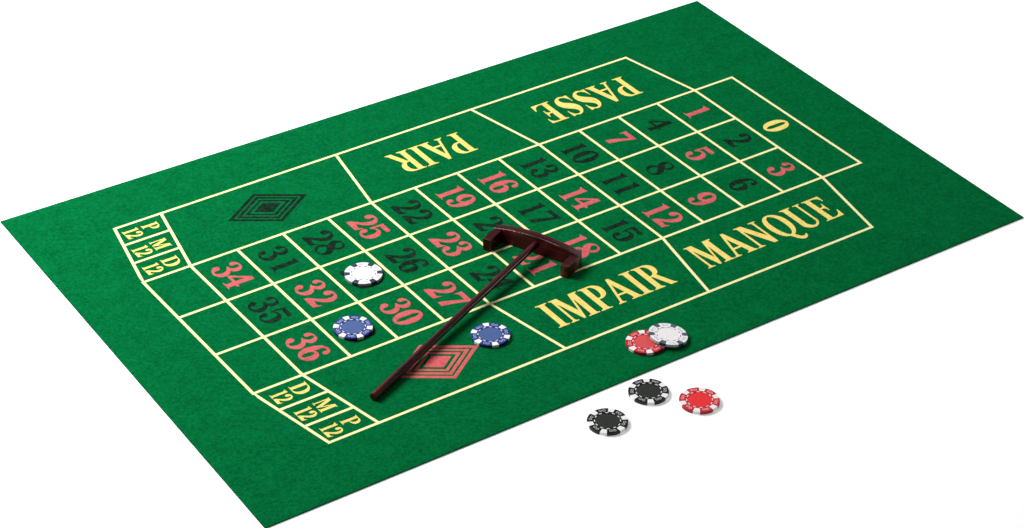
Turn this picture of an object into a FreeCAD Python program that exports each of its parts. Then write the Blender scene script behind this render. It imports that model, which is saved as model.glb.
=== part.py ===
import FreeCAD, Part
import math
import os

# Roulette layout set: printed felt, croupier's rake and eight chips. Millimetres, +Z up.
# The origin is the middle of the printed number grid, on the felt's underside.

V = FreeCAD.Vector

# felt
CLOTH_T = 1.2
CLOTH_CORNERS = [(-475.6, -295.8), (458.5, -295.9), (468.2, 287.4), (-458.1, 301.1)]

# print
INK_T = 0.06
LINE_W = 3.3
PITCH = 55.0                 # one number column
ROW = 76.14                  # one number row
INNER_Y = 1.5 * ROW          # long sides of the number block
OUTER_Y = 220.5              # outer line of the outside bets
SMALL_Y = (150.7, 186.2)     # dividers of the dozen boxes
SLANTS = [(-7.0, -6.61), (-6.0, -5.61), (-2.0, -1.65), (2.0, 1.62), (6.0, 5.62)]
RED = {1, 3, 5, 7, 9, 12, 14, 16, 18, 19, 21, 23, 25, 27, 30, 32, 34, 36}
DIGIT_H = 31.0
ADVANCE = 22.8               # digit spacing
ZERO_SHIFT = -0.8            # the zero sits a little to its left
CAP_H = 43.8                 # capitals of the outside bets
SMALL_DIGIT = (0.48, 0.575)  # dozen-box digits, across and up
SMALL_ADVANCE = 9.9
SMALL_CAP = (0.52, 0.41)     # dozen-box letters, across and up
LINE_DROP = 22.0             # from a dozen letter's baseline to its 12
DOZENS = [("P", 203.7, -338.4), ("M", 168.0, -345.8), ("D", 132.4, -351.8)]
LOZENGE = [(1.0, 0.86), (0.78, 0.655), (0.57, 0.46)]
LOZENGE_FILL = 0.34

# everything loose rests on the ink
REST_Z = CLOTH_T + INK_T + 0.04

# rake
RAKE_X, RAKE_Y, RAKE_DEG = -19.09, -65.28, -155.53
HEAD_HALF, HEAD_T, HEAD_END_H, HEAD_MID_H = 51.6, 9.25, 14.4, 20.9
ARM_W, ARM_L = 9.4, 22.4
HEAD_ROUND = 0.9
BACK_ROUND = 4.5
HANDLE_H, HANDLE_R0, HANDLE_R1, HANDLE_L = 12.5, 3.75, 4.2, 302.0
HANDLE_SKEW = -0.5  # the handle is not quite square to the head
SOCKET_DEPTH = 6.5
BUTT_BEVEL = 0.6

# chips
CHIP_R, CHIP_T, CHIP_ROUND = 19.8, 3.3, 0.35
DISC_R, DISC_DEPTH = 11.3, 0.2
SPOT_R, SPOT_DEG, SPOTS = 14.0, 20.0, 6
DASH_R0, DASH_R1, DASH_LEN, DASHES = 12.0, 12.85, 3.0, 12
WEB_Z0, WEB_Z1, WEB_R = 1.3, 2.0, 14.6
SLUG_R, SLUG_T = 11.0, 1.6
TOUCH = 0.03                 # gap left where one chip leans on another
CHIPS = {                    # centre, turn of the spots, surface it lies on
    "white_1": (-190.3, -0.2, 32.0, REST_Z),
    "blue_1": (-249.2, -76.1, 22.0, REST_Z),
    "blue_2": (-141.7, -162.5, 11.4, REST_Z),
    "red_1": (-20.6, -258.2, 6.6, REST_Z),
    "black_1": (-127.1, -340.2, 42.0, 0.0),
    "black_2": (-65.9, -323.6, 0.0, 0.0),
    "red_2": (-33.7, -362.4, 43.7, 0.0),
}
LEAN_X, LEAN_Y, LEAN_TURN = 3.5, -263.2, 35.0

# Glyph outlines. Tuples are corners, lists are points of one smooth curve from the last corner.
DIGITS = {
    "1": [[(-4.2, 0), (-4.2, 0.8), [(-1.4, 1.5), (-0.3, 3.4)], (-0.3, 23.8),
           [(-1.6, 27.0), (-4.5, 28.6)], (-4.5, 29.4), [(0.0, 29.9), (4.6, 31.0)],
           (6.3, 31.0), (6.3, 3.4), [(7.4, 1.5), (10.4, 0.8)], (10.4, 0)]],
    "2": [[(-8.6, 0), [(-7.9, 3.6), (-4.1, 8.4), (-0.4, 12.6), (2.2, 16.4), (3.8, 20.2),
                       (4.2, 24.2), (3.3, 27.8), (1.2, 29.5), (-1.2, 28.9), (-0.9, 26.8),
                       (-1.5, 23.2), (-4.6, 21.4), (-7.6, 22.6), (-8.5, 25.6), (-7.2, 29.0),
                       (-4.0, 31.4), (0.6, 32.0), (5.6, 30.8), (9.2, 27.6), (10.8, 23.2),
                       (9.8, 18.0), (6.4, 12.8), (2.0, 8.8), (-0.9, 5.9)],
           [(3.6, 6.2), (7.6, 5.6), (9.6, 7.0), (10.6, 9.2)], (11.6, 9.2),
           [(10.9, 4.6), (9.8, 0)]]],
    "3": [[(-4.2, 18.2), [(-1.4, 16.6), (1.4, 14.8), (3.5, 11.6), (3.6, 7.2), (1.8, 3.0),
                          (-1.0, 2.0), (-3.2, 3.9), (-3.0, 7.2), (-4.4, 10.0), (-7.0, 10.9),
                          (-9.6, 9.4), (-10.0, 6.2), (-7.8, 2.6), (-3.4, 0.0), (1.8, -0.4),
                          (6.8, 1.8), (10.0, 6.0), (10.4, 10.8), (8.2, 15.0), (3.8, 18.3)],
           [(7.0, 20.4), (8.6, 23.8), (8.2, 27.4), (5.4, 30.8), (0.6, 32.2), (-4.4, 31.4),
            (-8.4, 28.4), (-9.0, 25.0), (-7.0, 22.6), (-4.2, 23.0), (-3.0, 25.4),
            (-3.4, 28.0), (-1.8, 30.2), (0.8, 30.0), (2.4, 27.4), (2.3, 23.4),
            (0.2, 20.6), (-3.8, 19.4)]]],
    "4": [[(-11.0, 9.8), (1.0, 9.8), (1.0, 3.2), [(-0.2, 1.4), (-3.2, 0.8)], (-3.2, 0),
           (10.8, 0), (10.8, 0.8), [(8.2, 1.4), (7.4, 3.2)], (7.4, 9.8), (10.4, 9.4),
           (10.8, 10.6), (10.4, 12.4), (7.4, 12.6), (7.4, 31.4), (2.2, 31.4), (-11.0, 13.0)],
          [(-7.6, 12.8), (1.0, 24.2), (1.0, 12.8)]],
    "5": [[(-7.6, 31.3), (-8.4, 15.9), [(-7.2, 15.1), (-5.8, 15.6)], [(-3.2, 18.6),
           (-0.4, 19.2), (2.4, 17.0), (3.8, 12.6), (3.4, 7.0), (1.4, 2.6), (-1.4, 2.1),
           (-3.6, 4.2), (-2.9, 7.4), (-4.6, 10.3), (-7.4, 10.8), (-9.6, 8.8), (-9.4, 5.4),
           (-6.6, 1.8), (-1.8, -0.4), (3.8, 0.2), (8.6, 3.6), (10.9, 8.8), (10.6, 14.4),
           (7.4, 19.4), (2.0, 21.8), (-3.2, 20.8), (-6.0, 18.9)], (-5.3, 26.0),
           (8.6, 26.0), [(9.0, 28.4), (8.0, 31.3)]]],
    "6": [[(-1.9, 17.6), [(2.6, 19.6), (7.2, 18.2), (10.6, 14.4), (11.3, 8.8), (8.9, 3.4),
                          (4.2, 0.0), (-1.2, -0.3), (-5.8, 2.2), (-8.9, 7.4), (-10.0, 14.2),
                          (-8.9, 21.4), (-5.7, 27.8), (-0.8, 31.6), (4.2, 32.0), (8.4, 30.0),
                          (10.3, 26.6), (9.4, 23.6), (6.6, 22.6), (4.5, 24.6), (4.7, 27.4),
                          (3.2, 29.6), (0.8, 28.8), (-1.5, 24.6)]],
          [(0.9, 16.6), [(3.6, 14.0), (4.1, 9.2), (3.0, 4.0), (0.9, 2.2), (-1.4, 4.0),
                         (-2.5, 9.2), (-1.7, 14.0), (0.9, 16.6)]]],
    "7": [[(-7.9, 31.3), (-7.9, 22.5), (-7.0, 22.5), [(-6.2, 24.6), (-4.2, 25.8)], (6.6, 25.8),
           [(2.3, 17.2), (-1.8, 8.4), (-4.4, 0.0)], (3.3, 0), [(5.2, 8.6), (8.6, 19.6),
                                                               (12.3, 29.4)], (12.3, 31.3)]],
    "8": [[(-4.4, 16.3), [(-8.2, 13.4), (-9.8, 8.8), (-8.6, 3.8), (-4.6, 0.4), (1.2, -0.5),
                          (7.0, 0.9), (10.8, 4.8), (11.1, 9.8), (8.8, 14.6), (5.2, 18.0)],
           [(8.4, 20.2), (9.8, 24.0), (8.6, 28.4), (5.4, 31.2), (0.8, 32.1), (-4.2, 31.0),
            (-7.6, 27.8), (-8.4, 23.4), (-6.8, 19.0), (-4.4, 16.3)]],
          [(3.2, 20.6), [(-0.8, 23.6), (-2.9, 27.2), (-1.6, 30.0), (1.6, 30.6), (4.6, 29.0),
                         (5.9, 25.6), (5.2, 22.2), (3.2, 20.6)]],
          [(-1.9, 13.9), [(2.4, 10.8), (5.8, 7.0), (5.4, 3.2), (1.8, 1.1), (-2.6, 2.0),
                          (-5.2, 5.6), (-4.9, 10.6), (-1.9, 13.9)]]],
    "0": [[(0.8, 32.2), [(6.6, 29.9), (10.6, 23.9), (11.8, 15.9), (10.6, 7.9), (6.6, 1.8),
                         (0.8, -0.5), (-5.0, 1.8), (-9.0, 7.9), (-10.2, 15.9), (-9.0, 23.9),
                         (-5.0, 29.9), (0.8, 32.2)]],
          [(0.9, 29.2), [(2.9, 26.8), (3.8, 15.9), (2.9, 4.9), (0.9, 2.5), (-1.1, 4.9),
                         (-2.0, 15.9), (-1.1, 26.8), (0.9, 29.2)]]],
}
NINE_X, NINE_Y = 1.6, 31.7    # a six turned half way round and moved by these makes a nine

CAPITALS = {                 # name: (width, outlines)
    "I": (13.6, [[(0, 0), (0, 1.4), [(2.6, 2.2), (3.6, 4.0)], (3.6, 39.8),
                  [(2.6, 41.6), (0, 42.4)], (0, 43.8), (13.6, 43.8), (13.6, 42.4),
                  [(11.0, 41.6), (10.0, 39.8)], (10.0, 4.0), [(11.0, 2.2), (13.6, 1.4)],
                  (13.6, 0)]]),
    "M": (35.2, [[(0, 0), (0, 1.4), [(2.4, 2.2), (3.0, 4.0)], (3.0, 40.0),
                  [(2.4, 41.8), (0.4, 42.4)], (0.4, 43.8), (10.6, 43.8), (18.4, 14.0),
                  (25.0, 43.8), (35.2, 43.8), (35.2, 42.4), [(33.0, 41.8), (32.2, 40.0)],
                  (32.2, 4.0), [(33.0, 2.2), (35.2, 1.4)], (35.2, 0), (21.8, 0),
                  (21.8, 1.4), [(24.4, 2.2), (25.4, 4.0)], (25.4, 34.0), (17.6, 0),
                  (15.2, 0), (5.8, 36.0), (5.8, 4.0), [(6.8, 2.2), (9.4, 1.4)],
                  (9.4, 0)]]),
    "P": (24.0, [[(0, 0), (0, 1.4), [(2.4, 2.2), (3.4, 4.0)], (3.4, 39.8),
                  [(2.4, 41.6), (0, 42.4)], (0, 43.8), (12.0, 43.8),
                  [(18.8, 42.4), (23.0, 37.6), (24.0, 31.2), (22.6, 24.8), (18.2, 20.2),
                   (13.0, 18.6), (10.0, 18.8)], (10.0, 4.0), [(11.2, 2.2), (13.8, 1.4)],
                  (13.8, 0)],
                 [(10.0, 21.0), (10.0, 41.4), [(14.2, 40.8), (16.6, 36.6), (17.2, 31.2),
                                               (16.2, 25.4), (13.6, 21.8), (10.0, 21.0)]]]),
    "A": (30.0, [[(0, 0), (0, 1.4), [(2.2, 2.4), (3.4, 4.4)], (13.6, 43.8), (17.2, 43.8),
                  (27.2, 4.4), [(28.2, 2.4), (30.0, 1.4)], (30.0, 0), (16.8, 0), (16.8, 1.4),
                  [(19.4, 2.2), (20.0, 4.4)], (18.2, 12.6), (8.4, 12.6), (6.6, 5.4),
                  [(6.6, 2.6), (9.0, 1.4)], (9.0, 0)],
                 [(9.2, 15.6), (17.5, 15.6), (13.7, 32.6)]]),
    "R": (28.4, [[(0, 0), (0, 1.4), [(2.4, 2.2), (3.4, 4.0)], (3.4, 39.8),
                  [(2.4, 41.6), (0, 42.4)], (0, 43.8), (12.2, 43.8),
                  [(18.8, 42.6), (23.0, 38.4), (24.0, 33.0), (22.4, 27.0), (17.8, 22.8)],
                  (25.4, 4.6), [(26.6, 2.4), (28.4, 1.4)], (28.4, 0), (20.2, 0),
                  (11.6, 21.2), (10.0, 21.2), (10.0, 4.0), [(11.2, 2.2), (13.2, 1.4)],
                  (13.2, 0)],
                 [(10.0, 23.6), (10.0, 41.4), [(14.2, 40.8), (16.6, 37.0), (17.2, 32.4),
                                               (16.2, 27.4), (13.6, 24.2), (10.0, 23.6)]]]),
    "N": (29.0, [[(0, 0), (0, 1.4), [(2.6, 2.2), (3.4, 4.0)], (3.4, 39.6),
                  [(2.4, 41.6), (0, 42.4)], (0, 43.8), (10.2, 43.8), (23.6, 14.0),
                  (23.6, 39.8), [(22.6, 41.6), (20.0, 42.4)], (20.0, 43.8), (29.0, 43.8),
                  (29.0, 42.4), [(27.0, 41.6), (26.4, 39.8)], (26.4, 0), (21.4, 0),
                  (6.2, 34.4), (6.2, 4.0), [(7.2, 2.2), (9.8, 1.4)], (9.8, 0)]]),
    "Q": (28.0, [[(14.0, 44.6), [(20.6, 42.6), (26.0, 35.4), (28.0, 23.6), (26.2, 11.8),
                                 (21.2, 3.4), (17.2, 0.2)],
                  [(18.8, -3.4), (22.0, -7.0), (25.0, -6.9), (27.4, -4.6)], (28.2, -5.4),
                  [(26.2, -10.2), (22.0, -12.4), (17.4, -10.6), (13.6, -5.0), (11.0, 0.0)],
                  [(6.6, 2.2), (1.8, 10.6), (0.0, 22.4), (2.0, 34.6), (7.4, 42.6),
                   (14.0, 44.6)]],
                 [(13.8, 42.2), [(9.4, 38.4), (7.2, 30.0), (7.2, 20.0), (9.2, 8.8),
                                 (13.6, 2.6), (18.2, 6.6), (20.8, 15.4), (21.2, 25.4),
                                 (18.8, 37.0), (13.8, 42.2)]]]),
    "U": (27.6, [[(0, 43.8), (14.4, 43.8), (14.4, 42.4), [(11.6, 41.6), (10.4, 39.8)],
                  (10.4, 12.0), [(11.6, 5.4), (15.6, 2.4), (20.0, 4.4), (22.2, 11.0)],
                  (22.2, 39.8), [(21.4, 41.6), (19.0, 42.4)], (19.0, 43.8), (27.6, 43.8),
                  (27.6, 42.4), [(25.6, 41.6), (24.8, 39.8)], (24.8, 11.4),
                  [(22.8, 3.4), (17.2, -0.7), (10.0, -0.4), (5.0, 3.6), (3.6, 11.4)],
                  (3.6, 39.8), [(2.4, 41.6), (0, 42.4)]]]),
    "E": (24.4, [[(0, 0), (0, 1.4), [(2.4, 2.2), (3.4, 4.0)], (3.4, 39.8),
                  [(2.4, 41.6), (0, 42.4)], (0, 43.8), (22.8, 43.8), (22.8, 33.4),
                  (21.6, 33.4), [(19.4, 39.4), (14.4, 41.4)], (10.0, 41.4), (10.0, 24.0),
                  [(14.4, 25.0), (16.0, 29.8)], (17.2, 29.8), (17.2, 15.8), (16.0, 15.8),
                  [(14.4, 20.6), (10.0, 21.6)], (10.0, 2.4), [(17.4, 3.2), (23.0, 12.0)],
                  (24.4, 11.6), (23.6, 0)]]),
    "S": (21.4, [[(0.6, 0.2), (0.4, 14.2), (1.6, 14.2), [(3.4, 6.4), (8.0, 2.4), (12.6, 3.2),
                                                       (14.2, 7.2), (12.4, 12.0), (6.4, 17.4),
                                                       (1.6, 23.2), (0.2, 30.6),
                                                       (2.6, 38.6), (9.0, 43.8), (14.6, 42.6)],
                  (17.6, 43.8), (19.4, 43.8), (19.6, 30.8), (18.4, 30.8),
                  [(16.2, 38.2), (12.0, 41.4), (8.0, 39.8), (7.0, 35.8), (9.4, 31.0),
                   (15.2, 25.8), (20.0, 19.4), (21.2, 12.0), (18.4, 3.8), (12.2, -0.5),
                   (6.0, 0.8)], (2.6, 0.2)]]),
    "D": (33.0, [[(0, 0), (0, 1.4), [(2.6, 2.2), (3.8, 4.0)], (3.8, 39.8),
                  [(2.6, 41.6), (0, 42.4)], (0, 43.8), (13.6, 43.8),
                  [(23.4, 41.8), (30.6, 34.6), (33.0, 22.4), (30.8, 9.8), (23.8, 1.8),
                   (14.0, 0)]],
                 [(11.6, 2.4), (11.6, 41.4), [(18.4, 39.8), (22.8, 32.6), (24.2, 22.4),
                                              (22.8, 11.0), (18.4, 4.0), (11.6, 2.4)]]]),
}
GAPS = {"IM": 2.1, "MP": 2.1, "PA": -2.2, "AI": 0.4, "IR": 1.9, "MA": 0.8, "AN": 1.3,
        "NQ": 3.4, "QU": 2.6, "UE": 3.8, "AS": 2.0, "SS": 4.0, "SE": 4.4}
# word, x of its middle, y of its baseline there, turn
WORDS = [("IMPAIR", -1.0, -188.1, 0), ("MANQUE", 208.2, -186.0, 0.5),
         ("PAIR", -0.2, 187.2, 180), ("PASSE", 212.9, 187.2, 180)]


def place(shape, x, y, z=0.0, turn=0.0):
    """A copy of shape, turned about Z and moved."""
    out = shape.copy()
    move = FreeCAD.Placement(V(x, y, z), FreeCAD.Rotation(V(0, 0, 1), turn))
    out.Placement = move.multiply(shape.Placement)
    return out


def wire(loop):
    """One closed outline from corners (tuples) and smooth curves (lists)."""
    pen, edges = loop[0], []
    for step in loop[1:] + [loop[0]]:
        if isinstance(step, list):
            curve = Part.BSplineCurve()
            curve.interpolate([V(*p, 0) for p in [pen] + step])
            edges.append(curve.toShape())
            pen = step[-1]
        elif step != pen:
            edges.append(Part.makeLine(V(*pen, 0), V(*step, 0)))
            pen = step
    return Part.Wire(edges)


def glyph(loops, across=1.0, up=1.0):
    """An ink-thick solid from an outline and its holes."""
    scaled = [reshape(loop, 0, across, 0, up) for loop in loops]
    face = Part.Face(wire(scaled[0]))
    for hole in scaled[1:]:
        face = face.cut(Part.Face(wire(hole))).Faces[0]
    solid = face.extrude(V(0, 0, INK_T))
    solid.translate(V(0, 0, CLOTH_T))
    return solid


def reshape(loop, x0, across, y0, up):
    """The outline moved by x0, y0 after its coordinates are multiplied."""
    def point(p):
        return x0 + across * p[0], y0 + up * p[1]
    return [[point(p) for p in step] if isinstance(step, list) else point(step)
            for step in loop]


def strip(x0, y0, x1, y1, extra):
    """A line of the print between two points, running on past both ends."""
    run = math.hypot(x1 - x0, y1 - y0)
    box = Part.makeBox(run + 2 * extra, LINE_W, INK_T, V(-extra, -LINE_W / 2, 0))
    return place(box, x0, y0, CLOTH_T, math.degrees(math.atan2(y1 - y0, x1 - x0)))


def cloth():
    """The felt, cut slightly out of square."""
    points = [V(x, y, 0) for x, y in CLOTH_CORNERS]
    return Part.Face(Part.makePolygon(points + points[:1])).extrude(V(0, 0, CLOTH_T))


def grid_lines():
    """Number grid, zero box and the slanted outside bets."""
    half = LINE_W / 2
    left, right, zero = -7 * PITCH, 6 * PITCH, 7 * PITCH
    lines = [strip(n * PITCH, -INNER_Y, n * PITCH, INNER_Y, half) for n in range(-7, 8)]
    for side in (-1, 1):
        lines.append(strip(left, side * ROW / 2, right, side * ROW / 2, half))
        lines.append(strip(left, side * INNER_Y, zero, side * INNER_Y, half))
        lines.append(strip(SLANTS[0][1] * PITCH, side * OUTER_Y,
                           SLANTS[-1][1] * PITCH, side * OUTER_Y, half))
        band = Part.makeBox(2 * zero, OUTER_Y - INNER_Y + LINE_W, INK_T,
                            V(-zero, INNER_Y - half if side > 0 else -OUTER_Y - half, CLOTH_T))
        for inner, outer in SLANTS:
            slant = strip(inner * PITCH, side * INNER_Y, outer * PITCH, side * OUTER_Y, LINE_W)
            lines.append(slant.common(band))
        for y in SMALL_Y:
            drift = (y - INNER_Y) / (OUTER_Y - INNER_Y) * (SLANTS[0][1] - SLANTS[0][0])
            lines.append(strip((SLANTS[0][0] + drift) * PITCH, side * y,
                               (SLANTS[1][0] + drift) * PITCH, side * y, 0))
    return lines[0].fuse(lines[1:]).removeSplitter()


def number(text, x, y, digits, height=DIGIT_H, advance=ADVANCE, shift=0.0):
    """A number read along -Y with its tops towards +X, centred on x, y."""
    out = []
    for i, char in enumerate(text):
        along = (i - (len(text) - 1) / 2) * advance + shift
        out.append(place(digits[char], x - height / 2, y - along, 0, -90))
    return out


def word(text, x, y, turn, letters):
    """A word centred on x, with its baseline on y."""
    gaps = [GAPS[text[i:i + 2]] for i in range(len(text) - 1)] + [0]
    widths = [CAPITALS[c][0] for c in text]
    pen, out = -(sum(widths) + sum(gaps)) / 2, []
    for char, width, gap in zip(text, widths, gaps):
        line = place(place(letters[char], pen, 0), 0, 0, 0, turn)
        out.append(place(line, x, y))
        pen += width + gap
    return out


def lozenge(x, y, half_x, half_y):
    """Nested outlines round a filled middle."""
    def diamond(k):
        points = [V(x + k * half_x, y, CLOTH_T), V(x, y + k * half_y, CLOTH_T),
                  V(x - k * half_x, y, CLOTH_T), V(x, y - k * half_y, CLOTH_T)]
        return Part.Face(Part.makePolygon(points + points[:1]))
    rings = [diamond(a).cut(diamond(b)).Faces[0] for a, b in LOZENGE]
    return Part.makeCompound([f.extrude(V(0, 0, INK_T)) for f in rings + [diamond(LOZENGE_FILL)]])


def numbers(wanted, digits):
    """The numbers of one colour."""
    out = []
    for n in wanted:
        column, row = divmod(n - 1, 3)
        out += number(str(n), (5.5 - column) * PITCH, (1 - row) * ROW, digits)
    return Part.makeCompound(out)


def lettering(digits):
    """Zero, the four words and the dozen boxes."""
    capitals = {c: glyph(loops) for c, (_, loops) in CAPITALS.items()}
    out = number("0", 6.5 * PITCH, 0, digits, shift=ZERO_SHIFT)
    for text, x, y, turn in WORDS:
        out += word(text, x, y, turn, capitals)
    small = {c: glyph(DIGITS[c], *SMALL_DIGIT) for c in "12"}
    height = DIGIT_H * SMALL_DIGIT[1]
    for name, y, base in DOZENS:
        width, loops = CAPITALS[name]
        cap = glyph(loops, *SMALL_CAP)
        for side in (-1, 1):
            out.append(place(cap, base, side * y + width * SMALL_CAP[0] / 2, 0, -90))
            out += number("12", base - LINE_DROP + height / 2, side * y, small, height,
                          SMALL_ADVANCE)
    return Part.makeCompound(out)


def to_rake(shape):
    """From the rake's own axes (X along the handle, Y across) to the row's."""
    return place(shape, RAKE_X, RAKE_Y, REST_Z, RAKE_DEG)


def handle_slope():
    """The angle at which the handle comes down to lie on the felt."""
    return math.asin((HANDLE_H - HANDLE_R1) / HANDLE_L)


def rake_handle():
    """A tapered dowel whose plain end sits in the head."""
    stub = Part.makeCylinder(HANDLE_R0, SOCKET_DEPTH, V(-SOCKET_DEPTH, 0, 0), V(1, 0, 0))
    shaft = Part.makeCone(HANDLE_R0, HANDLE_R1, HANDLE_L - BUTT_BEVEL, V(0, 0, 0), V(1, 0, 0))
    butt = Part.makeCone(HANDLE_R1, HANDLE_R1 - BUTT_BEVEL, BUTT_BEVEL,
                         V(HANDLE_L - BUTT_BEVEL, 0, 0), V(1, 0, 0))
    dowel = stub.fuse([shaft, butt]).removeSplitter()
    dowel.rotate(V(0, 0, 0), V(0, 1, 0), math.degrees(handle_slope()))
    dowel.translate(V(0, 0, HANDLE_H))
    return place(dowel, 0, 0, 0, HANDLE_SKEW)


def rake_head(handle):
    """The arched board with its two arms, rounded, and bored for the handle."""
    low, high = HEAD_HALF, HEAD_HALF
    arch = Part.Arc(V(0, -low, HEAD_END_H), V(0, 0, HEAD_MID_H), V(0, high, HEAD_END_H)).toShape()
    sides = [Part.makeLine(V(0, high, HEAD_END_H), V(0, high, 0)),
             Part.makeLine(V(0, high, 0), V(0, -low, 0)),
             Part.makeLine(V(0, -low, 0), V(0, -low, HEAD_END_H))]
    board = Part.Face(Part.Wire([arch] + sides)).extrude(V(-HEAD_T, 0, 0))
    crest = [e for e in board.Edges if e.BoundBox.ZMax > HEAD_MID_H - HEAD_ROUND]
    board = board.makeFillet(HEAD_ROUND, crest)
    arm = Part.makeBox(ARM_L + HEAD_T / 2, ARM_W, HEAD_END_H, V(-HEAD_T / 2, 0, 0))
    free = [e for e in arm.Edges if e.BoundBox.XMin > 0
            or (e.BoundBox.ZMin > 0 and e.BoundBox.XLength > HEAD_T)]
    arm = arm.makeFillet(HEAD_ROUND, [e for e in free if e.BoundBox.ZMax > 1])
    head = board.fuse([place(arm, 0, y) for y in (-HEAD_HALF, HEAD_HALF - ARM_W)])
    head = head.removeSplitter()
    plan = Part.makeBox(HEAD_T + ARM_L + 1, 2 * HEAD_HALF, HEAD_MID_H + 1,
                        V(-HEAD_T, -HEAD_HALF, 0))
    corners = [e for e in plan.Edges if e.BoundBox.ZLength > HEAD_MID_H
               and e.BoundBox.XMax < -HEAD_T + 1]
    return head.common(plan.makeFillet(BACK_ROUND, corners)).cut(handle)


def chip_blank():
    """The chip's outside: rounded rim and a shallow middle on both faces."""
    disc = Part.makeCylinder(CHIP_R, CHIP_T)
    rims = [e for e in disc.Edges if e.BoundBox.ZLength < CHIP_ROUND]
    disc = disc.makeFillet(CHIP_ROUND, rims)
    dip = Part.makeCylinder(DISC_R, DISC_DEPTH)
    return disc.cut([dip, place(dip, 0, 0, CHIP_T - DISC_DEPTH)])


def chip_spots(blank):
    """The second-colour moulding: edge spots and dashes on one hidden web."""
    wedge = Part.makeCylinder(CHIP_R + 1, CHIP_T, V(0, 0, 0), V(0, 0, 1), SPOT_DEG)
    wedge = wedge.cut(Part.makeCylinder(SPOT_R, CHIP_T))
    dash = Part.makeBox(DASH_R1 - DASH_R0, DASH_LEN, CHIP_T, V(DASH_R0, -DASH_LEN / 2, 0))
    web = Part.makeCylinder(WEB_R, WEB_Z1 - WEB_Z0, V(0, 0, WEB_Z0))
    web = web.cut(Part.makeCylinder((DASH_R0 + DASH_R1) / 2, CHIP_T))
    parts = [place(wedge, 0, 0, 0, 360 / SPOTS * i - SPOT_DEG / 2) for i in range(SPOTS)]
    parts += [place(dash, 0, 0, 0, 360 / DASHES * (i + 0.5)) for i in range(DASHES)]
    return web.fuse(parts).common(blank).removeSplitter()


def chip():
    """One chip at the origin: body, spots and the weight inside."""
    blank = chip_blank()
    spots = chip_spots(blank)
    slug = Part.makeCylinder(SLUG_R, SLUG_T, V(0, 0, (CHIP_T - SLUG_T) / 2))
    return {"body": blank.cut([spots, slug]), "spots": spots, "slug": slug}


def lean(apart):
    """Tilt and height of a chip with one edge on the felt and its underside on a rim."""
    reach = CHIP_R - CHIP_ROUND
    low, high = 0.0, math.pi / 6
    for _ in range(50):
        tilt = (low + high) / 2
        rise = TOUCH + CHIP_ROUND + reach * math.sin(tilt) - CHIP_ROUND * math.cos(tilt)
        gap = (rise - (CHIP_T - CHIP_ROUND)) * math.cos(tilt) + (apart - reach) * math.sin(tilt)
        if gap < CHIP_ROUND + TOUCH:
            low = tilt
        else:
            high = tilt
    return tilt, rise


def leaning(shape):
    """The chip that lies part on the felt and part on its neighbour."""
    x, y, _, base = CHIPS["red_1"]
    toward = math.atan2(y - LEAN_Y, x - LEAN_X)
    tilt, rise = lean(math.hypot(x - LEAN_X, y - LEAN_Y))
    out = place(shape, 0, 0, 0, LEAN_TURN)
    across = V(math.sin(toward), -math.cos(toward), 0)
    out.rotate(V(0, 0, 0), across, math.degrees(tilt))
    out.translate(V(LEAN_X, LEAN_Y, base + rise))
    return out


def build():
    """Every node in the row's frame."""
    digits = {c: glyph(loops) for c, loops in DIGITS.items()}
    digits["9"] = glyph([reshape(loop, NINE_X, -1, NINE_Y, -1) for loop in DIGITS["6"]])
    handle = rake_handle()
    nodes = {
        "layout_cloth": cloth(),
        "print_lines": grid_lines(),
        "print_lettering": lettering(digits),
        "print_red_numbers": numbers(sorted(RED), digits),
        "print_black_numbers": numbers([n for n in range(1, 37) if n not in RED], digits),
        "print_red_lozenge": lozenge(-208.5, -168.5, 48.5, 33.3),
        "print_black_lozenge": lozenge(-207.8, 167.6, 48.8, 32.4),
        "rake_handle": to_rake(handle),
        "rake_head": to_rake(rake_head(handle)),
    }
    for part, shape in chip().items():
        for name, (x, y, turn, base) in CHIPS.items():
            nodes["chip_" + name + "_" + part] = place(shape, x, y, base, turn)
        nodes["chip_white_2_" + part] = leaning(shape)
    return nodes


os.makedirs("parts", exist_ok=True)
for node, shape in build().items():
    shape.exportStep("parts/" + node + ".step")
    print(node, len(shape.Solids), shape.isValid(), round(shape.Volume, 1))
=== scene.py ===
import math
import bpy
from mathutils import Matrix, Vector, noise


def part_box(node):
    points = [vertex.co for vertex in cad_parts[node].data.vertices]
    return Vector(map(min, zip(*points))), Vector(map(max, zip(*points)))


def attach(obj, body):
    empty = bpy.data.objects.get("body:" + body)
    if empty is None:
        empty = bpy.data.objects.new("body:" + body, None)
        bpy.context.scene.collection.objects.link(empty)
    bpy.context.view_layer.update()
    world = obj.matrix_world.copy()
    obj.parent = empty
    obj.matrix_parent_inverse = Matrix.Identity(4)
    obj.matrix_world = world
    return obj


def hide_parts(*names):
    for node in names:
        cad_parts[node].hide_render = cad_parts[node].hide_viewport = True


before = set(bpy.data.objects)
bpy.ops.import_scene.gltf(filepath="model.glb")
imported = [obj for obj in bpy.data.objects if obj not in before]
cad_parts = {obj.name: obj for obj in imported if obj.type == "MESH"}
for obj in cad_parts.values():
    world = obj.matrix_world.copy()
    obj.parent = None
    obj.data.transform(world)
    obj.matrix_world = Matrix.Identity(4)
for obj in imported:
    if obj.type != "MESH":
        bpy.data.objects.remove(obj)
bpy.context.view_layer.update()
scene = bpy.context.scene
scene.view_settings.view_transform = "Standard"
mm = 0.001
print("frame loaded:", len(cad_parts), "nodes")

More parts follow.
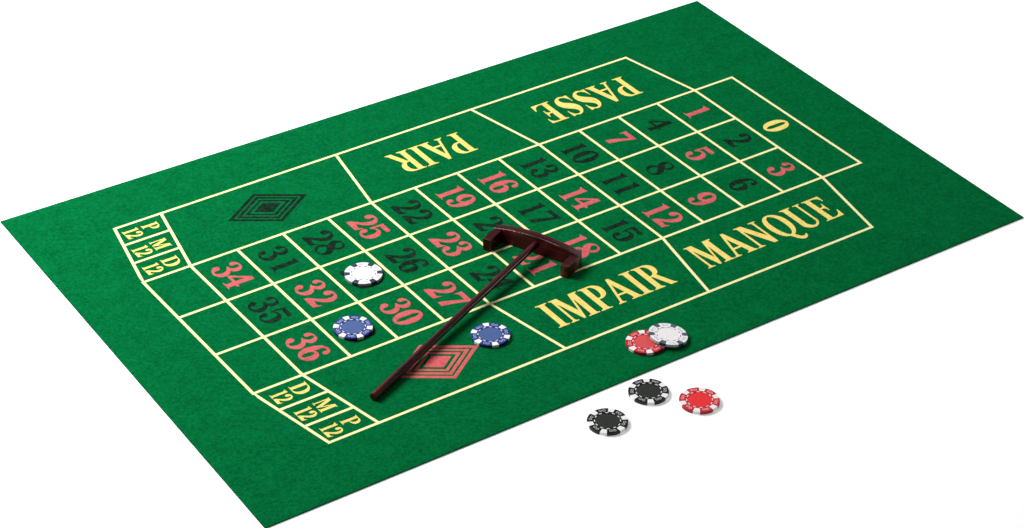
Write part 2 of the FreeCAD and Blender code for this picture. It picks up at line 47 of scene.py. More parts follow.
# camera: the table seen from its near left corner
camera = {"place": (-1.29465, -1.86272, 1.46885), "turn": (56.105, -0.551, -34.347), "lens": 89.0}
camData = bpy.data.cameras.new("tableCamera")
camData.lens = camera["lens"]
camData.clip_end = 20
camObject = bpy.data.objects.new("tableCamera", camData)
camObject.location = camera["place"]
camObject.rotation_euler = [math.radians(a) for a in camera["turn"]]
scene.collection.objects.link(camObject)
scene.camera = camObject
print("camera placed")


def addNode(tree, kind, sockets=None, **settings):
    node = tree.nodes.new(kind)
    for key, value in settings.items():
        setattr(node, key, value)
    for key, value in (sockets or {}).items():
        node.inputs[key].default_value = value
    return node


def link(tree, source, target):
    tree.links.new(source, target)


def newGroup(name, kind, inputs, outputs):
    group = bpy.data.node_groups.new(name, kind)
    for label, socket, value in inputs:
        made = group.interface.new_socket(name=label, in_out="INPUT", socket_type=socket)
        if value is not None:
            made.default_value = value
    for label, socket in outputs:
        group.interface.new_socket(name=label, in_out="OUTPUT", socket_type=socket)
    return group, group.nodes.new("NodeGroupInput"), group.nodes.new("NodeGroupOutput")


def useGroup(tree, group, **values):
    node = tree.nodes.new("ShaderNodeGroup")
    node.node_tree = group
    for key, value in values.items():
        node.inputs[key[0].upper() + key[1:]].default_value = value
    return node


def mathNode(tree, operation, first, second):
    node = addNode(tree, "ShaderNodeMath", operation=operation)
    for i, value in enumerate((first, second)):
        if isinstance(value, (int, float)):
            node.inputs[i].default_value = value
        else:
            link(tree, value, node.inputs[i])
    return node.outputs[0]


def mixColour(tree, factor, first, second):
    node = addNode(tree, "ShaderNodeMix", data_type="RGBA")
    for key, value in ((0, factor), (6, first), (7, second)):      # factor and the two colours
        if isinstance(value, (int, float)):
            node.inputs[key].default_value = value
        elif isinstance(value, tuple):
            node.inputs[key].default_value = (*value, 1)
        else:
            link(tree, value, node.inputs[key])
    return node.outputs[2]


def newMaterial(name, **fixed):
    material = bpy.data.materials.new(name)
    material.use_nodes = True
    tree = material.node_tree
    tree.nodes.clear()
    shader = addNode(tree, "ShaderNodeBsdfPrincipled", fixed)
    out = addNode(tree, "ShaderNodeOutputMaterial")
    link(tree, shader.outputs[0], out.inputs["Surface"])
    place = addNode(tree, "ShaderNodeTexCoord").outputs["Object"]
    return material, tree, shader, place


def bump(tree, height, shader, distance, strength):
    node = addNode(tree, "ShaderNodeBump", {"Distance": distance, "Strength": strength})
    link(tree, height, node.inputs["Height"])
    link(tree, node.outputs[0], shader.inputs["Normal"])


# napped fibre: fine grain with short streaks in three directions, over a slow mottle
fibreMix = {"turns": (0.0, 1.05, 2.1), "stretch": 0.2, "grain": 0.45, "mottle": 0.2, "streaks": 0.35,
            "grainHeight": 0.4}


def makeFibreGroup():
    group, inlet, outlet = newGroup(
        "nappedFibre", "ShaderNodeTree",
        [("Vector", "NodeSocketVector", None), ("Grain", "NodeSocketFloat", 420.0),
         ("Streaks", "NodeSocketFloat", 900.0), ("Mottle", "NodeSocketFloat", 30.0)],
        [("Tone", "NodeSocketFloat"), ("Height", "NodeSocketFloat")])
    layers = []
    for turn in fibreMix["turns"]:
        mapping = addNode(group, "ShaderNodeMapping",
                          {"Rotation": (0, 0, turn), "Scale": (fibreMix["stretch"], 1, 1)})
        link(group, inlet.outputs["Vector"], mapping.inputs["Vector"])
        streak = addNode(group, "ShaderNodeTexNoise",
                         {"Detail": 2.0, "Roughness": 0.6, "Distortion": 1.2})
        link(group, mapping.outputs[0], streak.inputs["Vector"])
        link(group, inlet.outputs["Streaks"], streak.inputs["Scale"])
        layers.append(streak.outputs[0])
    streaks = mathNode(group, "MAXIMUM", mathNode(group, "MAXIMUM", layers[0], layers[1]),
                       layers[2])
    layers = []
    for label, detail, low, high in (("Grain", 3.0, 0.36, 0.64), ("Mottle", 4.0, 0.32, 0.68)):
        texture = addNode(group, "ShaderNodeTexNoise", {"Detail": detail, "Roughness": 0.7})
        link(group, inlet.outputs["Vector"], texture.inputs["Vector"])
        link(group, inlet.outputs[label], texture.inputs["Scale"])
        spread = addNode(group, "ShaderNodeMapRange", {"From Min": low, "From Max": high})
        link(group, texture.outputs[0], spread.inputs["Value"])
        layers.append(spread.outputs[0])
    spread = addNode(group, "ShaderNodeMapRange", {"From Min": 0.45, "From Max": 0.75})
    link(group, streaks, spread.inputs["Value"])
    tone = mathNode(group, "ADD", mathNode(group, "MULTIPLY", layers[0], fibreMix["grain"]),
                    mathNode(group, "MULTIPLY", layers[1], fibreMix["mottle"]))
    tone = mathNode(group, "ADD", tone,
                    mathNode(group, "MULTIPLY", spread.outputs[0], fibreMix["streaks"]))
    link(group, tone, outlet.inputs["Tone"])
    height = mathNode(group, "ADD", streaks,
                      mathNode(group, "MULTIPLY", layers[0], fibreMix["grainHeight"]))
    link(group, height, outlet.inputs["Height"])
    return group


# moulded grain, with fine rubbed scratches
def makeGrainGroup():
    group, inlet, outlet = newGroup(
        "mouldedGrain", "ShaderNodeTree",
        [("Vector", "NodeSocketVector", None), ("Grain", "NodeSocketFloat", 1800.0),
         ("Scratches", "NodeSocketFloat", 260.0)],
        [("Grain", "NodeSocketFloat"), ("Scratch", "NodeSocketFloat")])
    grain = addNode(group, "ShaderNodeTexNoise", {"Detail": 2.0, "Roughness": 0.5})
    link(group, inlet.outputs["Vector"], grain.inputs["Vector"])
    link(group, inlet.outputs["Grain"], grain.inputs["Scale"])
    mapping = addNode(group, "ShaderNodeMapping", {"Rotation": (0, 0, 0.7), "Scale": (0.08, 1, 1)})
    link(group, inlet.outputs["Vector"], mapping.inputs["Vector"])
    rub = addNode(group, "ShaderNodeTexNoise", {"Detail": 5.0, "Roughness": 0.7})
    link(group, mapping.outputs[0], rub.inputs["Vector"])
    link(group, inlet.outputs["Scratches"], rub.inputs["Scale"])
    link(group, grain.outputs[0], outlet.inputs["Grain"])
    link(group, rub.outputs[0], outlet.inputs["Scratch"])
    return group


# 1 inside a radius of the local middle, 0 outside it
def makeRoundGroup():
    group, inlet, outlet = newGroup(
        "roundMask", "ShaderNodeTree",
        [("Vector", "NodeSocketVector", None), ("Radius", "NodeSocketFloat", 0.0113),
         ("Edge", "NodeSocketFloat", 0.0002)], [("Mask", "NodeSocketFloat")])
    flat = addNode(group, "ShaderNodeVectorMath", {1: (1, 1, 0)}, operation="MULTIPLY")
    link(group, inlet.outputs["Vector"], flat.inputs[0])
    size = addNode(group, "ShaderNodeVectorMath", operation="LENGTH")
    link(group, flat.outputs[0], size.inputs[0])
    over = mathNode(group, "SUBTRACT", inlet.outputs["Radius"], size.outputs["Value"])
    soft = mathNode(group, "DIVIDE", over, inlet.outputs["Edge"])
    clear = addNode(group, "ShaderNodeClamp")
    link(group, mathNode(group, "ADD", soft, 0.5), clear.inputs[0])
    link(group, clear.outputs[0], outlet.inputs["Mask"])
    return group


fibreGroup = makeFibreGroup()
grainGroup = makeGrainGroup()
roundGroup = makeRoundGroup()


# felt and the inks soaked into it
# the dark cut-edge colour and the height band it fills are painted shade on the sheet's side
felt = {"dark": (0.0008, 0.062, 0.016), "light": (0.002, 0.190, 0.052), "cut": (0.0, 0.014, 0.004),
        "grain": 330.0, "streaks": 2200.0, "mottle": 38.0, "nap": 0.22 * mm, "napStrength": 0.6,
        "cutTop": 0.9 * mm, "cutFade": 0.2 * mm, "inkFade": 0.12, "inkGap": 0.5}


def fibreMaterial(name, dark, light, contrast=1.0, bare=0.0):
    material, tree, shader, place = newMaterial(
        name, **{"Roughness": 0.95, "Specular IOR Level": 0.0})
    fibre = useGroup(tree, fibreGroup, grain=felt["grain"], streaks=felt["streaks"],
                     mottle=felt["mottle"])
    link(tree, place, fibre.inputs["Vector"])
    factor = mathNode(tree, "POWER", fibre.outputs["Tone"], contrast)
    colour = mixColour(tree, factor, dark, light)
    if bare:                                           # felt shows where the ink missed a fibre
        missed = addNode(tree, "ShaderNodeMapRange",
                         {"From Min": bare, "From Max": bare - felt["inkFade"],
                          "To Max": felt["inkGap"]})
        link(tree, fibre.outputs["Tone"], missed.inputs["Value"])
        colour = mixColour(tree, missed.outputs[0], colour, felt["dark"])
    link(tree, colour, shader.inputs["Base Color"])
    bump(tree, fibre.outputs["Height"], shader, felt["nap"], felt["napStrength"])
    return material, tree, shader, place, colour


def makeFelt():
    material, tree, shader, place, colour = fibreMaterial("greenFelt", felt["dark"], felt["light"])
    axes = addNode(tree, "ShaderNodeSeparateXYZ")      # painted shade: the cut edge below the nap is coloured dark to stand in for the shade on the felt's thin side
    link(tree, place, axes.inputs[0])
    above = addNode(tree, "ShaderNodeMapRange",
                    {"From Min": felt["cutTop"] - felt["cutFade"], "From Max": felt["cutTop"]})
    link(tree, axes.outputs["Z"], above.inputs["Value"])
    link(tree, mixColour(tree, above.outputs[0], felt["cut"], colour),
         shader.inputs["Base Color"])
    return material


feltMaterial = makeFelt()
inks = {
    "print_lines": fibreMaterial("yellowLineInk", (0.88, 0.72, 0.30), (1.0, 0.93, 0.52),
                                 contrast=0.6, bare=0.20)[0],
    "print_lettering": fibreMaterial("yellowLetterInk", (0.76, 0.48, 0.09), (1.0, 0.80, 0.25),
                                     contrast=0.6, bare=0.20)[0],
    "print_red_numbers": fibreMaterial("redInk", (0.40, 0.055, 0.065), (0.78, 0.16, 0.175),
                                       contrast=0.7, bare=0.20)[0],
    "print_black_numbers": fibreMaterial("blackInk", (0.002, 0.004, 0.004), (0.022, 0.062, 0.038),
                                         contrast=1.4, bare=0.24)[0],
}
inks["print_red_lozenge"] = inks["print_red_numbers"]
inks["print_black_lozenge"] = inks["print_black_numbers"]
for node, material in inks.items():
    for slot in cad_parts[node].material_slots:
        slot.material = material
print("felt and inks ready")


def newPiece(name, points, faces, material, smooth=False):
    mesh = bpy.data.meshes.new(name)
    mesh.from_pydata(points, [], faces)
    mesh.validate()
    mesh.materials.append(material)
    for face in mesh.polygons:
        face.use_smooth = smooth
    piece = bpy.data.objects.new(name, mesh)
    scene.collection.objects.link(piece)
    return piece


# the felt itself: a thin sheet with a softly pressed rim
cloth = {"across": 120, "deep": 76, "thick": 1.2 * mm, "rim": 0.2 * mm, "rimWidth": 1.0 * mm,
         "wander": 0.3 * mm, "wanderScale": 60, "dip": 0.02 * mm, "ripple": 0.03 * mm,
         "rippleScale": 25}


def clothCorners():
    points = [v.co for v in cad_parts["layout_cloth"].data.vertices]
    found = [max(points, key=lambda p: sx * p.x + sy * p.y)
             for sx, sy in ((-1, -1), (1, -1), (1, 1), (-1, 1))]
    return [(round(p.x, 4), round(p.y, 4)) for p in found]


corners = clothCorners()


def makeCloth():
    nx, ny = cloth["across"], cloth["deep"]
    a, b, c, d = [Vector((*p, 0)) for p in corners]
    points, faces = [], []

    def share(k, count, length):                       # narrow first and last rows at the rim
        rim = cloth["rimWidth"] / length
        return 0 if k == 0 else 1 if k == count else rim + (k - 1) / (count - 2) * (1 - 2 * rim)

    def rough(p, scale):                               # slow noise from 0 to 1
        return 0.5 + 0.5 * noise.noise(p * scale)

    for top in (True, False):
        for j in range(ny + 1):
            for i in range(nx + 1):
                u, v = share(i, nx, (b - a).length), share(j, ny, (d - a).length)
                p = (a.lerp(b, u)).lerp(d.lerp(c, u), v)
                edge = i in (0, nx) or j in (0, ny)
                if edge:
                    inward = (Vector((0, 0, 0)) - p).normalized()
                    p = p + inward * cloth["wander"] * rough(p, cloth["wanderScale"])
                dip = cloth["dip"] + cloth["ripple"] * rough(p, cloth["rippleScale"])
                z = cloth["thick"] - dip - (cloth["rim"] if edge else 0) if top else 0.0
                points.append((p.x, p.y, z))
    row, layer = nx + 1, (nx + 1) * (ny + 1)
    for j in range(ny):
        for i in range(nx):
            k = j * row + i
            faces.append((k, k + 1, k + row + 1, k + row))
            faces.append((layer + k, layer + k + row, layer + k + row + 1, layer + k + 1))
    for i in range(nx):
        near, far = i, ny * row + i
        faces.append((near, layer + near, layer + near + 1, near + 1))
        faces.append((far, far + 1, layer + far + 1, layer + far))
    for j in range(ny):
        left, right = j * row, j * row + nx
        faces.append((left, left + row, layer + left + row, layer + left))
        faces.append((right, layer + right, layer + right + row, right + row))
    return newPiece("feltSheet", points, faces, feltMaterial, smooth=True)


feltSheet = makeCloth()


# loose surface fibres: short bent threads scattered over a face
def makeFibreTree():
    tree, inlet, outlet = newGroup(
        "looseFibres", "GeometryNodeTree",
        [("Geometry", "NodeSocketGeometry", None), ("Density", "NodeSocketFloat", 20000.0),
         ("Length", "NodeSocketFloat", 0.005), ("Thickness", "NodeSocketFloat", 0.00004),
         ("Curl", "NodeSocketFloat", 0.0012), ("Lift", "NodeSocketFloat", 0.0),
         ("Seed", "NodeSocketInt", 7), ("Material", "NodeSocketMaterial", None)],
        [("Geometry", "NodeSocketGeometry")])
    spread = addNode(tree, "GeometryNodeDistributePointsOnFaces")
    link(tree, inlet.outputs["Geometry"], spread.inputs["Mesh"])
    link(tree, inlet.outputs["Density"], spread.inputs["Density"])
    link(tree, inlet.outputs["Seed"], spread.inputs["Seed"])
    arc = addNode(tree, "GeometryNodeCurveQuadraticBezier", {"Resolution": 3})
    ends = []
    for side in (-0.5, 0.5):
        xyz = addNode(tree, "ShaderNodeCombineXYZ")
        link(tree, mathNode(tree, "MULTIPLY", inlet.outputs["Length"], side), xyz.inputs["X"])
        ends.append(xyz)
    link(tree, ends[0].outputs[0], arc.inputs["Start"])
    link(tree, ends[1].outputs[0], arc.inputs["End"])
    middle = addNode(tree, "ShaderNodeCombineXYZ")
    link(tree, inlet.outputs["Curl"], middle.inputs["Y"])
    link(tree, middle.outputs[0], arc.inputs["Middle"])
    ring = addNode(tree, "GeometryNodeCurvePrimitiveCircle", {"Resolution": 3})
    link(tree, inlet.outputs["Thickness"], ring.inputs["Radius"])
    tube = addNode(tree, "GeometryNodeCurveToMesh", {"Fill Caps": True})
    link(tree, arc.outputs[0], tube.inputs["Curve"])
    link(tree, ring.outputs["Curve"], tube.inputs["Profile Curve"])
    instance = addNode(tree, "GeometryNodeInstanceOnPoints")
    link(tree, spread.outputs["Points"], instance.inputs["Points"])
    link(tree, tube.outputs[0], instance.inputs["Instance"])
    turn = addNode(tree, "FunctionNodeRandomValue", data_type="FLOAT_VECTOR")
    turn.inputs[0].default_value = (0, 0, 0)
    turn.inputs[1].default_value = (0, 0, math.tau)
    link(tree, inlet.outputs["Seed"], turn.inputs["Seed"])
    link(tree, turn.outputs[0], instance.inputs["Rotation"])
    size = addNode(tree, "FunctionNodeRandomValue", data_type="FLOAT_VECTOR")
    size.inputs[0].default_value = (0.35, 0.1, 1.0)
    size.inputs[1].default_value = (1.0, 1.0, 1.0)
    link(tree, inlet.outputs["Seed"], size.inputs["Seed"])
    link(tree, size.outputs[0], instance.inputs["Scale"])
    lift = addNode(tree, "GeometryNodeTranslateInstances")
    height = addNode(tree, "ShaderNodeCombineXYZ")
    link(tree, inlet.outputs["Lift"], height.inputs["Z"])
    link(tree, instance.outputs[0], lift.inputs["Instances"])
    link(tree, height.outputs[0], lift.inputs["Translation"])
    real = addNode(tree, "GeometryNodeRealizeInstances")
    link(tree, lift.outputs[0], real.inputs["Geometry"])
    paint = addNode(tree, "GeometryNodeSetMaterial")
    link(tree, real.outputs[0], paint.inputs["Geometry"])
    link(tree, inlet.outputs["Material"], paint.inputs["Material"])
    link(tree, paint.outputs[0], outlet.inputs["Geometry"])
    return tree


def runTree(piece, tree, **values):
    modifier = piece.modifiers.new("nodes", "NODES")
    modifier.node_group = tree
    sockets = {s.name: s.identifier for s in tree.interface.items_tree if s.in_out == "INPUT"}
    for key, value in values.items():
        modifier[sockets[key[0].upper() + key[1:]]] = value
    graph = bpy.context.evaluated_depsgraph_get()
    mesh = bpy.data.meshes.new_from_object(piece.evaluated_get(graph))
    mesh.name = piece.name
    piece.modifiers.clear()
    piece.data = mesh
    return piece


fibreTree = makeFibreTree()
fibres = {"density": 11000.0, "length": 6.0 * mm, "thickness": 0.035 * mm, "curl": 1.6 * mm,
          "lift": 1.20 * mm, "seed": 11, "inset": 5 * mm}
# painted light: the loose fibres are coloured lighter than the felt to offset the shade they sit in
looseMaterial = fibreMaterial("looseFibre", (0.002, 0.20, 0.060), (0.008, 0.36, 0.12))[0]


def makeFibres():
    inset = fibres["inset"]
    field = [(x - math.copysign(inset, x), y - math.copysign(inset, y), 0) for x, y in corners]
    piece = newPiece("feltFibres", field, [(0, 1, 2, 3)], looseMaterial)
    return runTree(piece, fibreTree, density=fibres["density"], length=fibres["length"],
                   thickness=fibres["thickness"], curl=fibres["curl"], lift=fibres["lift"],
                   seed=fibres["seed"], material=looseMaterial)


feltFibres = makeFibres()
for piece in (feltSheet, feltFibres):
    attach(piece, "felt")
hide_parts("layout_cloth")
print("felt laid, fibre triangles:", len(feltFibres.data.polygons))


# dark lacquered wood, grain along the part
wood = {"turn": math.radians(-156.03), "dark": (0.008, 0.0006, 0.0008),
        "light": (0.098, 0.008, 0.010), "grain": 260.0, "stretch": 0.06, "slow": 30.0,
        "pores": 0.08 * mm}


def woodMaterial(name, turn):
    material, tree, shader, place = newMaterial(
        name, **{"Specular IOR Level": 0.15, "Coat Weight": 0.35, "Coat Roughness": 0.12,
                 "Coat IOR": 1.45})
    mapping = addNode(tree, "ShaderNodeMapping", {"Rotation": (0, 0, -turn)})
    link(tree, place, mapping.inputs["Vector"])
    stretch = addNode(tree, "ShaderNodeMapping", {"Scale": (wood["stretch"], 1, 1)})
    link(tree, mapping.outputs[0], stretch.inputs["Vector"])
    grain = addNode(tree, "ShaderNodeTexNoise",
                    {"Scale": wood["grain"], "Detail": 6.0, "Roughness": 0.65, "Distortion": 0.4})
    link(tree, stretch.outputs[0], grain.inputs["Vector"])
    slow = addNode(tree, "ShaderNodeTexNoise", {"Scale": wood["slow"], "Detail": 2.0})
    link(tree, place, slow.inputs["Vector"])
    streak = addNode(tree, "ShaderNodeMapRange", {"From Min": 0.35, "From Max": 0.72})
    link(tree, grain.outputs[0], streak.inputs["Value"])
    tone = mathNode(tree, "MULTIPLY", streak.outputs[0],
                    mathNode(tree, "ADD", slow.outputs[0], 0.4))
    link(tree, mixColour(tree, tone, wood["dark"], wood["light"]), shader.inputs["Base Color"])
    rough = addNode(tree, "ShaderNodeMapRange", {"To Min": 0.28, "To Max": 0.45})
    link(tree, grain.outputs[0], rough.inputs["Value"])
    link(tree, rough.outputs[0], shader.inputs["Roughness"])
    bump(tree, grain.outputs[0], shader, wood["pores"], 0.5)
    return material


for node, turn in (("rake_handle", wood["turn"]), ("rake_head", wood["turn"] + math.pi / 2)):
    material = woodMaterial(node + "Wood", turn)
    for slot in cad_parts[node].material_slots:
        slot.material = material
print("rake finished")

# chips: ring, disc, spot and relief colours; the disc's lighter tone is painted sheen of its matte
# recess
# the relief colours are painted light and shade on the raised dice
chipLook = {
    "white": {"ring": (0.87, 0.87, 0.88), "disc": (0.90, 0.89, 0.87), "spot": (0.018, 0.030, 0.085),
              "relief": (0.50, 0.50, 0.56)},
    "blue": {"ring": (0.018, 0.036, 0.20), "disc": (0.058, 0.112, 0.30),
             "spot": (0.88, 0.88, 0.87), "relief": (0.42, 0.50, 0.85)},
    "red": {"ring": (0.55, 0.014, 0.032), "disc": (0.72, 0.078, 0.080),
            "spot": (0.90, 0.88, 0.86), "relief": (0.95, 0.48, 0.46)},
    "brightRed": {"ring": (0.58, 0.012, 0.028), "disc": (0.86, 0.022, 0.028),
                  "spot": (0.90, 0.88, 0.86), "relief": (0.95, 0.48, 0.46)},
    "black": {"ring": (0.0035, 0.0035, 0.0035), "disc": (0.014, 0.017, 0.014),
              "spot": (0.90, 0.90, 0.90), "relief": (0.55, 0.55, 0.55)},
}
# the darkening factor and height band for the chip sides are painted shade on the rims
disc = {"radius": 11.3 * mm, "edge": 0.25 * mm, "half": 1.65 * mm, "grain": 1700.0,
        "grainDepth": 0.18 * mm, "sideShade": 0.45, "sideShadeTop": -0.1 * mm, "sideShadeLow": -0.7 * mm,
        "dust": 0.25, "polish": 0.08}


def chipMaterial(name, ring, inner, place):
    material, tree, shader, where = newMaterial(
        name, **{"Specular IOR Level": 0.25, "IOR": 1.5})
    back = place.inverted()                            # world to the chip's own middle and turn
    centred = addNode(tree, "ShaderNodeMapping",
                      {"Location": back.translation, "Rotation": back.to_euler()})
    link(tree, where, centred.inputs["Vector"])
    mask = useGroup(tree, roundGroup, radius=disc["radius"], edge=disc["edge"])
    grain = useGroup(tree, grainGroup, grain=disc["grain"])
    for node in (mask, grain):
        link(tree, centred.outputs[0], node.inputs["Vector"])
    axes = addNode(tree, "ShaderNodeSeparateXYZ")
    link(tree, centred.outputs[0], axes.inputs[0])
    side = addNode(tree, "ShaderNodeMapRange",         # painted shade: the rim is darkened below the upper face to stand in for the shade on the chip's side
                   {"From Min": disc["sideShadeTop"], "From Max": disc["sideShadeLow"]})
    link(tree, axes.outputs["Z"], side.inputs["Value"])
    rim = mixColour(tree, side.outputs[0], ring, tuple(disc["sideShade"] * c for c in ring))
    # painted sheen: inside the disc radius the lighter disc colour stands in for the sheen of the
    # matte recess
    colour = mixColour(tree, mask.outputs[0], rim, inner)
    dull = mathNode(tree, "MULTIPLY", grain.outputs["Scratch"], disc["dust"])
    colour = mixColour(tree, dull, colour, tuple(0.6 * c + 0.012 for c in ring))
    link(tree, colour, shader.inputs["Base Color"])
    rough = mathNode(tree, "ADD", mathNode(tree, "MULTIPLY", mask.outputs[0], 0.25),
                     mathNode(tree, "MULTIPLY", grain.outputs["Scratch"], 0.5))
    link(tree, mathNode(tree, "ADD", rough, disc["polish"]), shader.inputs["Roughness"])
    height = mathNode(tree, "MULTIPLY", grain.outputs["Grain"],
                      mathNode(tree, "ADD", mask.outputs[0], 0.12))
    bump(tree, height, shader, disc["grainDepth"], 0.7)
    return material


plastic = {"dull": 0.3, "shade": 0.75, "wear": 0.45, "polish": 0.12, "grainDepth": 0.04 * mm}


def plainPlastic(name, colour):
    material, tree, shader, place = newMaterial(name, **{"IOR": 1.5})
    grain = useGroup(tree, grainGroup, grain=disc["grain"])
    link(tree, place, grain.inputs["Vector"])
    dull = mathNode(tree, "MULTIPLY", grain.outputs["Scratch"], plastic["dull"])
    link(tree, mixColour(tree, dull, colour, tuple(plastic["shade"] * c for c in colour)),
         shader.inputs["Base Color"])
    wear = mathNode(tree, "MULTIPLY", grain.outputs["Scratch"], plastic["wear"])
    link(tree, mathNode(tree, "ADD", wear, plastic["polish"]), shader.inputs["Roughness"])
    bump(tree, grain.outputs["Grain"], shader, plastic["grainDepth"], 0.4)
    return material


def slugSteel():
    material, tree, shader, place = newMaterial("slugSteel", **{"Metallic": 1.0})
    grain = useGroup(tree, grainGroup)
    link(tree, place, grain.inputs["Vector"])
    link(tree, mixColour(tree, grain.outputs["Scratch"], (0.32, 0.32, 0.34), (0.6, 0.6, 0.62)),
         shader.inputs["Base Color"])
    link(tree, grain.outputs["Scratch"], shader.inputs["Roughness"])
    return material


steel = slugSteel()
spotMaterials = {c: plainPlastic(c + "ChipSpot", look["spot"]) for c, look in chipLook.items()}
# painted light and shade: the relief colours make the raised dice lighter than the ring on dark
# chips and greyer on white ones
diceLightShadeMaterials = {c: plainPlastic(c + "ChipDice", look["relief"]) for c, look in chipLook.items()}
ribMaterials = {c: plainPlastic(c + "ChipRib", tuple(0.6 * v for v in look["spot"]))
                for c, look in chipLook.items()}

# one pair of dice, standing up a hair from the ring: middle, turn and pips of each
dice = {"size": 2.9 * mm, "line": 0.42 * mm, "height": 0.10 * mm, "pip": 0.30 * mm,
        "pipReach": 0.9, "bevel": 0.35, "ring": 16.1 * mm, "count": 6, "turn": 30,
        "pair": ((-1.75 * mm, 0.25 * mm, 0.35, (1, 3, 5)), (1.75 * mm, -0.3 * mm, -0.3, (2, 4)))}
pipPlaces = {1: (0, 0), 2: (-0.5, 0.5), 3: (0.5, -0.5), 4: (0.5, 0.5), 5: (-0.5, -0.5)}


def makeDicePair():
    points, faces = [], []

    def prism(outline, hole=None):
        n, start = len(outline), len(points)
        for loop in ([outline] if hole is None else [outline, hole]):
            points.extend((x, y, 0) for x, y in loop)
            points.extend((x, y, dice["height"]) for x, y in loop)
        for i in range(n):
            k = (i + 1) % n
            faces.append((start + i, start + k, start + n + k, start + n + i))
            if hole:
                h = start + 2 * n
                faces.append((h + k, h + i, h + n + i, h + n + k))
                faces.append((start + n + i, start + n + k, h + n + k, h + n + i))
                faces.append((start + k, start + i, h + i, h + k))
        if not hole:
            faces.append(tuple(range(start + n, start + 2 * n)))
            faces.append(tuple(range(start + n - 1, start - 1, -1)))

    for x0, y0, turn, pips in dice["pair"]:
        def at(u, v):
            return (x0 + u * math.cos(turn) - v * math.sin(turn),
                    y0 + u * math.sin(turn) + v * math.cos(turn))

        def square(half):
            bevel = dice["bevel"] * half
            outline = []
            for sx, sy in ((1, 1), (-1, 1), (-1, -1), (1, -1)):
                ends = [(sx * half, sy * (half - bevel)), (sx * (half - bevel), sy * half)]
                outline += ends if sx == sy else ends[::-1]
            return [at(u, v) for u, v in outline]

        half = dice["size"] / 2
        prism(square(half), square(half - dice["line"]))
        for pip in pips:
            u, v = pipPlaces[pip]
            cu, cv = u * half * dice["pipReach"], v * half * dice["pipReach"]
            prism([at(cu + dice["pip"] * math.cos(a), cv + dice["pip"] * math.sin(a))
                   for a in (math.tau * i / 6 for i in range(6))])
    return points, faces


def makeRingTree():
    tree, inlet, outlet = newGroup(
        "ringOfPieces", "GeometryNodeTree",
        [("Geometry", "NodeSocketGeometry", None), ("Count", "NodeSocketInt", 6),
         ("Radius", "NodeSocketFloat", 0.016), ("Turn", "NodeSocketFloat", 0.0),
         ("Material", "NodeSocketMaterial", None)], [("Geometry", "NodeSocketGeometry")])
    ring = addNode(tree, "GeometryNodeMeshCircle")
    link(tree, inlet.outputs["Count"], ring.inputs["Vertices"])
    link(tree, inlet.outputs["Radius"], ring.inputs["Radius"])
    instance = addNode(tree, "GeometryNodeInstanceOnPoints")
    link(tree, ring.outputs[0], instance.inputs["Points"])
    link(tree, inlet.outputs["Geometry"], instance.inputs["Instance"])
    index = addNode(tree, "GeometryNodeInputIndex")
    step = mathNode(tree, "DIVIDE", math.tau, inlet.outputs["Count"])
    angle = mathNode(tree, "SUBTRACT", mathNode(tree, "MULTIPLY", index.outputs[0], step),
                     math.pi / 2)
    xyz = addNode(tree, "ShaderNodeCombineXYZ")
    link(tree, angle, xyz.inputs["Z"])
    link(tree, xyz.outputs[0], instance.inputs["Rotation"])
    spin = addNode(tree, "GeometryNodeTransform")
    turnXyz = addNode(tree, "ShaderNodeCombineXYZ")
    link(tree, inlet.outputs["Turn"], turnXyz.inputs["Z"])
    link(tree, instance.outputs[0], spin.inputs["Geometry"])
    link(tree, turnXyz.outputs[0], spin.inputs["Rotation"])
    real = addNode(tree, "GeometryNodeRealizeInstances")
    link(tree, spin.outputs[0], real.inputs["Geometry"])
    paint = addNode(tree, "GeometryNodeSetMaterial")
    link(tree, real.outputs[0], paint.inputs["Geometry"])
    link(tree, inlet.outputs["Material"], paint.inputs["Material"])
    link(tree, paint.outputs[0], outlet.inputs["Geometry"])
    return tree


ringTree = makeRingTree()
dicePair = makeDicePair()
# short upright ribs on the rim, one set of three for each spot
bars = {"out": 19.8 * mm, "wide": 0.34 * mm, "tall": 2.3 * mm, "deep": 0.1 * mm, "root": 0.2 * mm,
        "gap": 2.1 * mm}


def makeEdgeBars():
    points, faces = [], []
    for side in (-1, 0, 1):
        start = len(points)
        angle = side * bars["gap"] / bars["out"]
        across = Vector((-math.cos(angle), -math.sin(angle), 0))
        outward = Vector((-math.sin(angle), math.cos(angle), 0))
        middle = outward * bars["out"] - Vector((0, dice["ring"], 0))
        for depth in (-bars["root"], bars["deep"]):
            for x, z in ((-1, -1), (1, -1), (1, 1), (-1, 1)):
                p = middle + across * x * bars["wide"] / 2 + outward * depth
                points.append((p.x, p.y, -disc["half"] + z * bars["tall"] / 2))
        faces += [tuple(start + i for i in f) for f in (
            (0, 3, 2, 1), (4, 5, 6, 7), (0, 1, 5, 4), (1, 2, 6, 5), (2, 3, 7, 6), (3, 0, 4, 7))]
    return points, faces


edgeBars = makeEdgeBars()
# a fine raised line round the disc
bead = {"radius": 11.68 * mm, "wide": 0.24 * mm, "high": 0.10 * mm, "round": 72, "section": 8}


def makeBead(name, material):
    points, faces = [], []
    n, m = bead["round"], bead["section"]
    for i in range(n):
        for k in range(m):
            a, b = math.tau * i / n, math.tau * k / m
            r = bead["radius"] + bead["wide"] * math.cos(b)
            points.append((r * math.cos(a), r * math.sin(a), bead["high"] * math.sin(b)))
            faces.append((i * m + k, (i + 1) % n * m + k, (i + 1) % n * m + (k + 1) % m,
                          i * m + (k + 1) % m))
    return newPiece(name, points, faces, material, smooth=True)


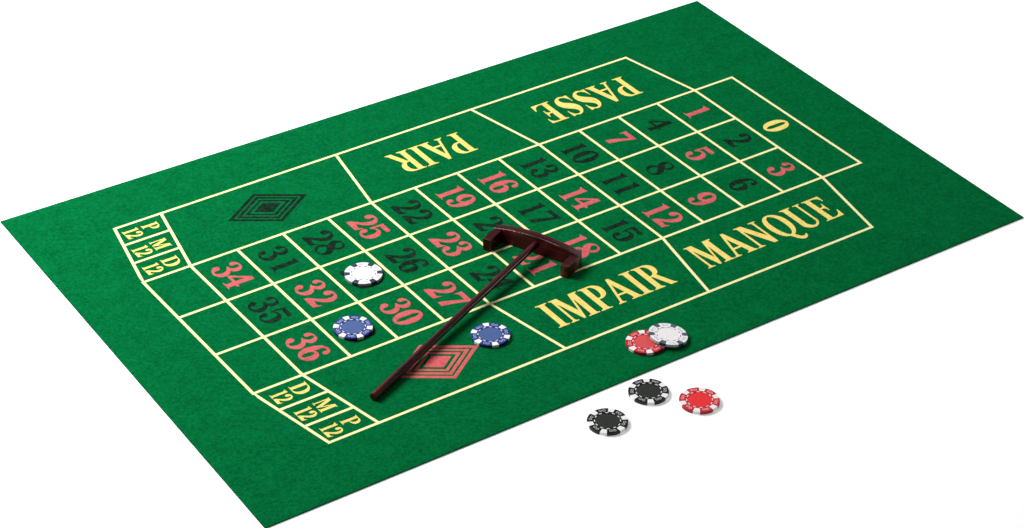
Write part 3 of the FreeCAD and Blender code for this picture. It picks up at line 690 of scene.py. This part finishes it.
# degrees that each chip is turned about its own axis
chipTurns = {"white_1": 32.0, "blue_1": 22.0, "blue_2": 11.4, "red_1": 6.6, "black_1": 42.0,
             "black_2": 0.0, "red_2": 43.7, "white_2": 35.0}


# the middle of the chip's upper face and its lean, read from the weight sealed inside it
def chipPlace(name, turn):
    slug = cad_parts["chip_" + name + "_slug"]
    up = max(slug.data.polygons, key=lambda f: f.area * (f.normal.z > 0.9)).normal
    low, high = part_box("chip_" + name + "_slug")
    middle = (Vector(low) + Vector(high)) / 2 + up * disc["half"]
    tilt = Vector((0, 0, 1)).rotation_difference(up)
    return (Matrix.Translation(middle) @ tilt.to_matrix().to_4x4()
            @ Matrix.Rotation(math.radians(turn), 4, "Z"))


for name, turn in chipTurns.items():
    colour = name.split("_")[0]
    look = chipLook["brightRed" if name == "red_2" else colour]
    place = chipPlace(name, turn)
    skin = chipMaterial("chip" + name.title().replace("_", ""), look["ring"], look["disc"], place)
    for part, material in (("body", skin), ("spots", spotMaterials[colour]), ("slug", steel)):
        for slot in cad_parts["chip_" + name + "_" + part].material_slots:
            slot.material = material
    relief = newPiece("chipDice_" + name, *dicePair, diceLightShadeMaterials[colour])
    ribs = newPiece("chipRibs_" + name, *edgeBars, ribMaterials[colour])
    for piece, offset in ((relief, dice["turn"]), (ribs, 0)):
        runTree(piece, ringTree, count=dice["count"], radius=dice["ring"],
                turn=math.radians(offset), material=piece.data.materials[0])
    beadPiece = makeBead("chipBead_" + name, skin)
    for piece in (relief, ribs, beadPiece):
        piece.data.transform(place)
        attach(piece, "chip_" + name)
print("chips finished")

# table and light
paleTable = newMaterial(
    "paleTable", **{"Base Color": (0.93, 0.93, 0.93, 1), "Roughness": 0.7,
                    "Specular IOR Level": 0.1, "Emission Color": (1, 1, 1, 1),
                    "Emission Strength": 0.32})[0]
table = {"reach": 9.0, "drop": -0.3 * mm}
tableCorners = [(x * table["reach"], y * table["reach"], table["drop"])
                for x, y in ((-1, -1), (1, -1), (1, 1), (-1, 1))]
tableTop = newPiece("table", tableCorners, [(0, 1, 2, 3)], paleTable)

studio = {"colour": (1, 1, 1, 1), "strength": 0.10}
lights = {"key": {"place": (-0.85, 0.80, 1.15), "aim": (-0.3, 0.1, 0), "size": 0.8, "power": 37},
          "back": {"place": (0.1, 1.5, 1.2), "aim": (0, 0, 0), "size": 0.45, "power": 11},
          "glint": {"place": (1.15, 0.55, 0.9), "aim": (0, -0.05, 0), "size": 0.3, "power": 3},
          "edge": {"place": (1.25, -0.6, 0.28), "aim": (-0.1, -0.1, 0), "size": 0.18, "power": 1.5},
          "fill": {"place": (0.3, -1.6, 1.9), "aim": (0, 0, 0), "size": 1.4, "power": 2}}
for name, light in lights.items():
    data = bpy.data.lights.new(name, "AREA")
    data.size = light["size"]
    data.energy = light["power"]
    lamp = bpy.data.objects.new(name, data)
    lamp.location = light["place"]
    aim = Vector(light["aim"]) - lamp.location
    lamp.rotation_euler = aim.to_track_quat("-Z", "Y").to_euler()
    scene.collection.objects.link(lamp)
world = bpy.data.worlds.new("studio")
world.use_nodes = True
background = world.node_tree.nodes["Background"]
background.inputs["Color"].default_value = studio["colour"]
background.inputs["Strength"].default_value = studio["strength"]
scene.world = world
print("table and lights set")
